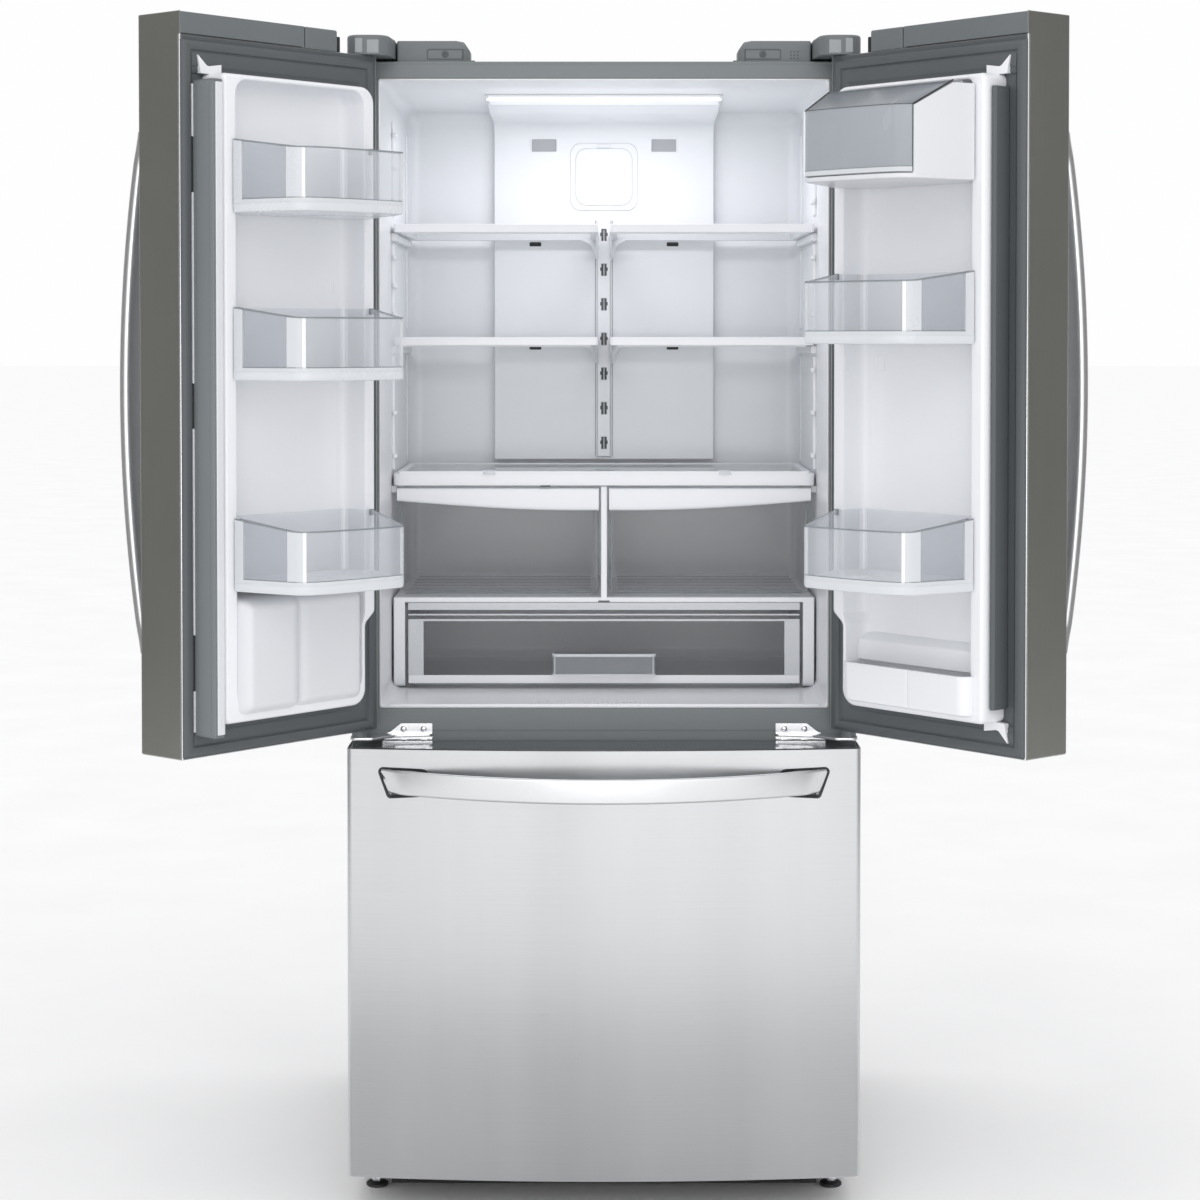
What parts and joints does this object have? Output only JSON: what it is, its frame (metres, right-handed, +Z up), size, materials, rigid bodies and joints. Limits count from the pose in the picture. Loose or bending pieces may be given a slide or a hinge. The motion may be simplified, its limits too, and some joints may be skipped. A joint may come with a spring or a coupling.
{
  "type": "french door refrigerator",
  "caption": "Free-standing refrigerator with two hinged upper doors, glass shelves, clear drawers and door bins over a pull-out freezer drawer.",
  "frame": {"origin": "centre of the base of the bounding box, on the floor, with both doors fully open", "axes": "+Z up; +Y from the doors to the back panel; +X to the right when facing the doors"},
  "size_m": [1.3738, 1.0808, 1.746],
  "materials": {
    "stainless": "satin",
    "handle_steel": "satin",
    "case_paint": "satin",
    "frame_paint": "satin",
    "zinc_plate": "satin",
    "white_liner": "satin",
    "clear_plastic": "gloss",
    "shelf_glass": "gloss",
    "gasket_rubber": "matte",
    "dark_plastic": "satin",
    "black_plastic": "matte",
    "foam": "matte",
    "compressor_paint": "satin",
    "coil_metal": "satin",
    "lamp_lens": "matte"
  },
  "bodies": {
    "cabinet": {"outer_case": "case_paint", "front_frame": "frame_paint", "back_panel": "case_paint", "base_pan": "black_plastic", "kick_plate": "black_plastic", "fridge_liner": "white_liner", "freezer_liner": "white_liner", "insulation": "foam", "air_duct_panel": "white_liner", "lamp_cover": "lamp_lens", "upper_shelf_left": "shelf_glass", "upper_shelf_right": "shelf_glass", "lower_shelf_left": "shelf_glass", "lower_shelf_right": "shelf_glass", "crisper_cover": "shelf_glass", "crisper_support": "white_liner", "top_hinge_left": "dark_plastic", "top_hinge_right": "dark_plastic", "middle_hinge_left": "zinc_plate", "middle_hinge_right": "zinc_plate", "freezer_rail_left": "zinc_plate", "freezer_rail_right": "zinc_plate", "compressor": "compressor_paint", "drip_pan": "black_plastic", "power_inlet": "black_plastic", "evaporator": "coil_metal"},
    "left_door": {"left_door_panel": "stainless", "left_door_top_cap": "dark_plastic", "left_door_liner": "white_liner", "left_door_gasket": "gasket_rubber", "left_door_handle": "handle_steel", "door_bin_left_upper": "clear_plastic", "door_bin_left_middle": "clear_plastic", "door_bin_left_lower": "clear_plastic"},
    "right_door": {"right_door_panel": "stainless", "right_door_top_cap": "dark_plastic", "right_door_liner": "white_liner", "right_door_gasket": "gasket_rubber", "right_door_handle": "handle_steel", "door_bin_right_upper": "clear_plastic", "door_bin_right_lower": "clear_plastic", "dairy_box": "white_liner"},
    "mullion": {"flip_mullion": "dark_plastic"},
    "dairy_lid_body": {"dairy_lid": "clear_plastic"},
    "crisper_left_body": {"crisper_left": "clear_plastic", "crisper_front_left": "white_liner"},
    "crisper_right_body": {"crisper_right": "clear_plastic", "crisper_front_right": "white_liner"},
    "pantry_body": {"pantry_drawer": "clear_plastic"},
    "freezer_drawer": {"freezer_front": "stainless", "freezer_gasket": "gasket_rubber", "freezer_inner_panel": "white_liner", "freezer_handle": "handle_steel", "deep_basket": "white_liner"},
    "freezer_tray_body": {"freezer_tray": "white_liner"},
    "fan": {"evaporator_fan": "black_plastic"},
    "leg_left": {"levelling_leg_left": "black_plastic"},
    "leg_right": {"levelling_leg_right": "black_plastic"},
    "roller_left": {"rear_roller_left": "black_plastic"},
    "roller_right": {"rear_roller_right": "black_plastic"}
  },
  "joints": [
    {"name": "left_door_swing", "type": "hinge", "parent": "cabinet", "child": "left_door", "pos_m": [-0.363, -0.201, 1.2], "axis": [0, 0, -1], "range_deg": [-130.3, 0]},
    {"name": "right_door_swing", "type": "hinge", "parent": "cabinet", "child": "right_door", "pos_m": [0.363, -0.201, 1.2], "axis": [0, 0, 1], "range_deg": [-130.3, 0]},
    {"name": "mullion_flip", "type": "hinge", "parent": "left_door", "child": "mullion", "pos_m": [-0.56303, -0.48634, 1.2], "axis": [0, 0, 1], "range_deg": [-90, 0]},
    {"name": "dairy_lid_flip", "type": "hinge", "parent": "right_door", "child": "dairy_lid_body", "pos_m": [0.41307, -0.39455, 1.646], "axis": [-0.6468, 0.7627, 0], "range_deg": [0, 70]},
    {"name": "crisper_left_slide", "type": "slide", "parent": "cabinet", "child": "crisper_left_body", "axis": [0, -1, 0], "range_m": [0, 0.27]},
    {"name": "crisper_right_slide", "type": "slide", "parent": "cabinet", "child": "crisper_right_body", "axis": [0, -1, 0], "range_m": [0, 0.27]},
    {"name": "pantry_slide", "type": "slide", "parent": "cabinet", "child": "pantry_body", "axis": [0, -1, 0], "range_m": [0, 0.27]},
    {"name": "freezer_slide", "type": "slide", "parent": "cabinet", "child": "freezer_drawer", "axis": [0, -1, 0], "range_m": [0, 0.36]},
    {"name": "freezer_tray_slide", "type": "slide", "parent": "freezer_drawer", "child": "freezer_tray_body", "axis": [0, 1, 0], "range_m": [0, 0.14]},
    {"name": "fan_spin", "type": "hinge", "parent": "cabinet", "child": "fan", "pos_m": [0, 0.28, 0.56], "axis": [0, 1, 0], "continuous": true},
    {"name": "left_leg_turn", "type": "hinge", "parent": "cabinet", "child": "leg_left", "pos_m": [-0.348, -0.089, 0.02], "axis": [0, 0, 1], "continuous": true},
    {"name": "right_leg_turn", "type": "hinge", "parent": "cabinet", "child": "leg_right", "pos_m": [0.348, -0.089, 0.02], "axis": [0, 0, 1], "continuous": true},
    {"name": "left_roller_spin", "type": "hinge", "parent": "cabinet", "child": "roller_left", "pos_m": [-0.348, 0.475, 0.019], "axis": [1, 0, 0], "continuous": true},
    {"name": "right_roller_spin", "type": "hinge", "parent": "cabinet", "child": "roller_right", "pos_m": [0.348, 0.475, 0.019], "axis": [1, 0, 0], "continuous": true}
  ]
}
